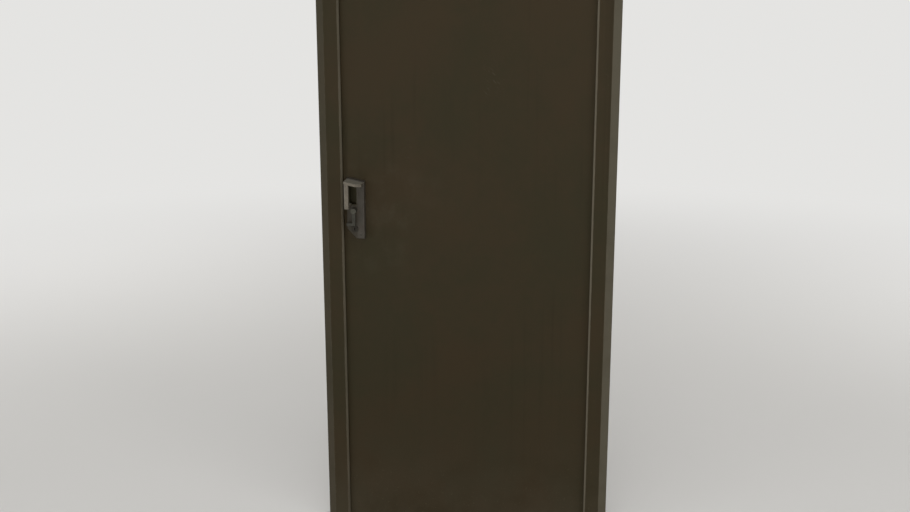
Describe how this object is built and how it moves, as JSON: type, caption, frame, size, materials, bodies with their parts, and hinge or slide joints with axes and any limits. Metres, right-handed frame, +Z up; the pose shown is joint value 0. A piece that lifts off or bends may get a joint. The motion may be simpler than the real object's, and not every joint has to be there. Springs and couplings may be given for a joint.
{
  "type": "industrial door",
  "caption": "Dark brown steel door set: a plain hollow leaf hung on barrel hinges in a splayed tube frame, with a boxed pull handle, turn lever and lock cylinder at the free edge.",
  "frame": {"origin": "middle of the sill's underside, at floor level under the door's middle", "axes": "+Z up, -Y out of the front seen in the picture, +X to the hinge side, which is right in that view"},
  "size_m": [0.9, 0.19, 2.1],
  "materials": {
    "frame_paint": "matt, worn at edges",
    "leaf_paint": "matt",
    "hinge_paint": "matt, worn",
    "case_grey": "matt",
    "worn_steel": "dull, worn",
    "seal_rubber": "matt",
    "black_plastic": "matt"
  },
  "bodies": {
    "frame": {"left_post": "frame_paint", "right_post": "frame_paint", "head_rail": "frame_paint", "sill": "worn_steel", "left_seal": "seal_rubber", "right_seal": "seal_rubber", "head_seal": "seal_rubber", "left_caps": "black_plastic", "right_caps": "black_plastic", "strike_plate": "worn_steel", "bottom_hinge_frame": "hinge_paint", "bottom_hinge_pin": "worn_steel", "middle_hinge_frame": "hinge_paint", "middle_hinge_pin": "worn_steel", "top_hinge_frame": "hinge_paint", "top_hinge_pin": "worn_steel"},
    "leaf": {"front_skin": "leaf_paint", "back_skin": "leaf_paint", "lock_stile": "leaf_paint", "hinge_stile": "leaf_paint", "top_channel": "leaf_paint", "bottom_channel": "leaf_paint", "lock_forend": "worn_steel", "latch_bolt": "worn_steel", "dead_bolt": "worn_steel", "front_case": "case_grey", "front_pocket": "black_plastic", "front_pull": "worn_steel", "back_case": "case_grey", "back_pocket": "black_plastic", "back_pull": "worn_steel", "lock_cylinder": "worn_steel", "bottom_hinge_leaf": "hinge_paint", "middle_hinge_leaf": "hinge_paint", "top_hinge_leaf": "hinge_paint"},
    "lever": {"lever_spindle": "worn_steel", "front_lever": "worn_steel", "back_lever": "worn_steel"}
  },
  "joints": [
    {"name": "leaf_swing", "type": "hinge", "parent": "frame", "child": "leaf", "pos_m": [0.3935, 0.046, 1.05], "axis": [0, 0, -1], "range_deg": [0, 110]},
    {"name": "lever_turn", "type": "hinge", "parent": "leaf", "child": "lever", "pos_m": [-0.3415, 0.009, 1.049], "axis": [0, -1, 0], "range_deg": [0, 90]}
  ]
}
